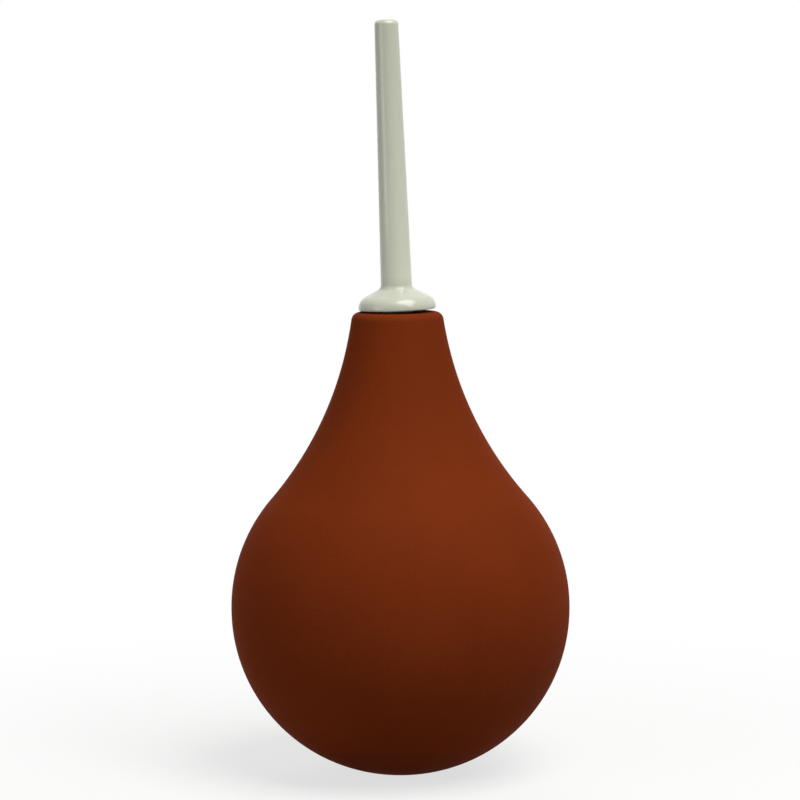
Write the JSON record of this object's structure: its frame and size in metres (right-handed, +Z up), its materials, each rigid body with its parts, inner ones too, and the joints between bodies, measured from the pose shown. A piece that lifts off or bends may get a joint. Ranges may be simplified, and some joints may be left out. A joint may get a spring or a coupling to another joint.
{
  "type": "bulb enema syringe",
  "caption": "Pear-shaped soft bulb with a thick neck and a hard push-in nozzle; squeezing its sides drives liquid out through the nozzle, which pulls out for filling.",
  "frame": {"origin": "middle of the flat on which the bulb stands", "axes": "+Z up the bulb towards the nozzle's tip, +X to the right as pictured, so that the nozzle leans slightly towards -X"},
  "size_m": [0.08, 0.08, 0.1769],
  "materials": {
    "bulb_rubber": "satin",
    "nozzle_plastic": "gloss"
  },
  "bodies": {
    "bulb": {"bulb": "bulb_rubber"},
    "left_wall": {"left_wall": "bulb_rubber"},
    "right_wall": {"right_wall": "bulb_rubber"},
    "nozzle": {"nozzle": "nozzle_plastic"}
  },
  "joints": [
    {"name": "squeeze_right", "type": "slide", "parent": "bulb", "child": "right_wall", "axis": [-1, 0, 0], "range_m": [0, 0.016], "stiffness_N_per_m": 900},
    {"name": "squeeze_left", "type": "slide", "parent": "bulb", "child": "left_wall", "axis": [1, 0, 0], "range_m": [0, 0.016], "stiffness_N_per_m": 900},
    {"name": "nozzle_pull", "type": "slide", "parent": "bulb", "child": "nozzle", "axis": [-0.0279, 0, 0.9996], "range_m": [0, 0.03]}
  ],
  "couplings": [
    {"joint": "squeeze_left", "follows": "squeeze_right", "ratio": 1}
  ]
}
